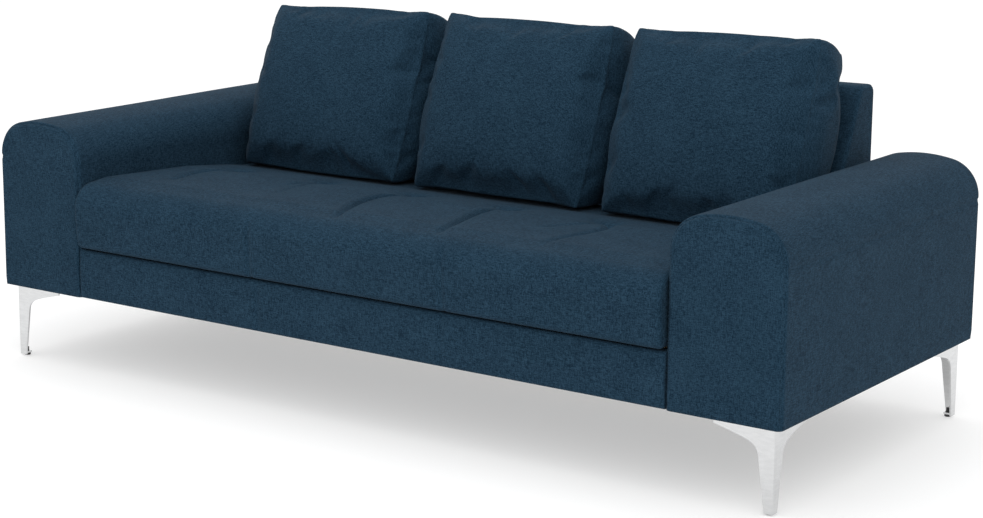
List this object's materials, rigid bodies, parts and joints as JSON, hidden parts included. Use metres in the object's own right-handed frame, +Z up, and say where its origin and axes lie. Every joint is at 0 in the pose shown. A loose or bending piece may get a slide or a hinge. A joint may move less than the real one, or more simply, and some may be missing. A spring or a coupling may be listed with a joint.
{
  "type": "sofa bed",
  "caption": "Three-seat click-clack sofa bed with wide rounded arms, a tufted bench seat, loose back cushions and polished steel corner legs.",
  "frame": {"origin": "on the floor, at the middle of the sofa's overall box", "axes": "+X to the right as seen from the front, -Y towards the sitter's front, +Z up"},
  "size_m": [2.14, 0.945, 0.8661],
  "materials": {
    "blue_fabric": "woven navy upholstery cloth",
    "foam": "cream upholstery foam",
    "plywood": "birch plywood",
    "fibreboard": "smooth hardboard",
    "pine": "planed softwood",
    "polished_steel": "polished chromed steel",
    "black_plastic": "moulded black plastic",
    "zinc_steel": "zinc plated steel",
    "hinge_steel": "black powder-coated steel",
    "lining_cloth": "black non-woven lining"
  },
  "bodies": {
    "root": {"arm_base_panel_left": "plywood", "arm_base_panel_right": "plywood", "arm_cover_left": "blue_fabric", "arm_cover_right": "blue_fabric", "arm_foam_left": "foam", "arm_foam_right": "foam", "arm_front_panel_left": "plywood", "arm_front_panel_right": "plywood", "arm_rails_left": "pine", "arm_rails_right": "pine", "arm_rear_panel_left": "plywood", "arm_rear_panel_right": "plywood", "arm_skin_left": "fibreboard", "arm_skin_right": "fibreboard", "base_bearers": "pine", "dust_cover": "lining_cloth", "front_rail": "pine", "front_rail_cover": "blue_fabric", "glide_front_left": "black_plastic", "glide_front_right": "black_plastic", "glide_rear_left": "black_plastic", "glide_rear_right": "black_plastic", "hinge_base_plate_left": "hinge_steel", "hinge_base_plate_right": "hinge_steel", "hinge_base_screws": "zinc_steel", "hinge_pin_left": "hinge_steel", "hinge_pin_right": "hinge_steel", "leg_front_left": "polished_steel", "leg_front_right": "polished_steel", "leg_rear_left": "polished_steel", "leg_rear_right": "polished_steel", "leg_screws": "zinc_steel", "middle_rail": "pine", "side_boards": "pine"},
    "seat": {"seat_frame": "pine", "seat_springs": "zinc_steel", "spring_deck": "lining_cloth", "seat_cushion": "blue_fabric", "hinge_seat_plate_left": "hinge_steel", "hinge_seat_plate_right": "hinge_steel", "hinge_pawl_left": "hinge_steel", "hinge_pawl_right": "hinge_steel", "hinge_seat_screws": "zinc_steel"},
    "back": {"back_ribs": "plywood", "back_top_rails": "pine", "back_low_rails": "pine", "back_rear_board": "fibreboard", "back_skirt_board": "pine", "back_webbing": "lining_cloth", "back_upholstery": "blue_fabric", "hinge_back_plate_left": "hinge_steel", "hinge_back_plate_right": "hinge_steel", "hinge_back_screws": "zinc_steel"},
    "cushion_left": {"back_cushion_left": "blue_fabric"},
    "cushion_centre": {"back_cushion_centre": "blue_fabric"},
    "cushion_right": {"back_cushion_right": "blue_fabric"}
  },
  "joints": [
    {"name": "seat_lift", "type": "hinge", "parent": "root", "child": "seat", "pos_m": [0, 0.2595, 0.421], "axis": [-1, 0, 0], "range_deg": [0, 30]},
    {"name": "back_recline", "type": "hinge", "parent": "seat", "child": "back", "pos_m": [0, 0.2595, 0.421], "axis": [-1, 0, 0], "range_deg": [0, 66]},
    {"name": "cushion_lift_left", "type": "slide", "parent": "back", "child": "cushion_left", "axis": [0, 0.2079, 0.9781], "range_m": [0, 0.4]},
    {"name": "cushion_lift_centre", "type": "slide", "parent": "back", "child": "cushion_centre", "axis": [0, 0.2079, 0.9781], "range_m": [0, 0.4]},
    {"name": "cushion_lift_right", "type": "slide", "parent": "back", "child": "cushion_right", "axis": [0, 0.2079, 0.9781], "range_m": [0, 0.4]}
  ]
}
